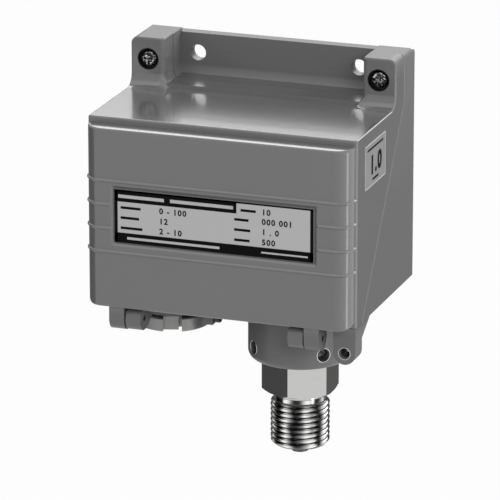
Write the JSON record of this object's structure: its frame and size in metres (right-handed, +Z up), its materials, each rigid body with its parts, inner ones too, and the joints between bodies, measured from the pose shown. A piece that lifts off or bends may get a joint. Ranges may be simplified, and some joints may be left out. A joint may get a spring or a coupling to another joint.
{
  "type": "pressure transmitter",
  "caption": "Wall-mounted pressure transmitter with a hinged die-cast cover, cable gland and threaded stainless pressure connection below.",
  "frame": {"origin": "midway between the two wall mounting holes, on the rear face of the flange", "axes": "+Z up, +Y back into the wall, +X to the right seen from the front"},
  "size_m": [0.0982, 0.0703, 0.1419],
  "materials": {
    "case_paint": "semi-gloss grey enamel over die casting",
    "stainless": "turned stainless steel",
    "dark_screw": "black oxide",
    "plate": "satin printed plate",
    "label": "printed foil label",
    "rubber": "matt rubber",
    "nickel": "nickel plated",
    "board": "solder resist",
    "black_plastic": "moulded",
    "blue_plastic": "moulded",
    "white_plastic": "moulded",
    "brass": "bright"
  },
  "bodies": {
    "case": {"base_case": "case_paint", "cover_gasket": "rubber", "process_connection": "stainless", "connection_seal": "rubber", "sensor_capsule": "stainless", "sensor_lead": "white_plastic", "sensor_plug": "white_plastic", "gland_nut": "nickel", "gland_washer": "nickel", "gland_packing": "rubber", "seal_screw": "dark_screw", "amplifier_board": "board", "board_screws": "nickel", "terminal_block": "black_plastic", "terminal_screws": "nickel", "capacitors": "black_plastic", "chips": "black_plastic", "hinge_pin_left": "nickel", "hinge_pin_right": "nickel", "set_screw_left": "dark_screw", "set_screw_right": "dark_screw", "zero_trimmer": "blue_plastic", "span_trimmer": "blue_plastic"},
    "cover": {"front_cover": "case_paint", "nameplate": "plate", "side_label": "label"},
    "cover_screw_left": {"cover_screw_left": "dark_screw"},
    "cover_screw_right": {"cover_screw_right": "dark_screw"},
    "zero_rotor": {"zero_rotor": "brass"},
    "span_rotor": {"span_rotor": "brass"}
  },
  "joints": [
    {"name": "cover_hinge", "type": "hinge", "parent": "case", "child": "cover", "pos_m": [0, -0.0643, -0.0804], "axis": [1, 0, 0], "range_deg": [0, 100]},
    {"name": "cover_screw_left_draw", "type": "slide", "parent": "cover", "child": "cover_screw_left", "axis": [0, -1, 0], "range_m": [0, 0.006]},
    {"name": "cover_screw_right_draw", "type": "slide", "parent": "cover", "child": "cover_screw_right", "axis": [0, -1, 0], "range_m": [0, 0.006]},
    {"name": "zero_turn", "type": "hinge", "parent": "case", "child": "zero_rotor", "pos_m": [0.008, -0.018, -0.025], "axis": [0, -1, 0], "range_deg": [-135, 135]},
    {"name": "span_turn", "type": "hinge", "parent": "case", "child": "span_rotor", "pos_m": [0.024, -0.018, -0.025], "axis": [0, -1, 0], "range_deg": [-135, 135]}
  ]
}
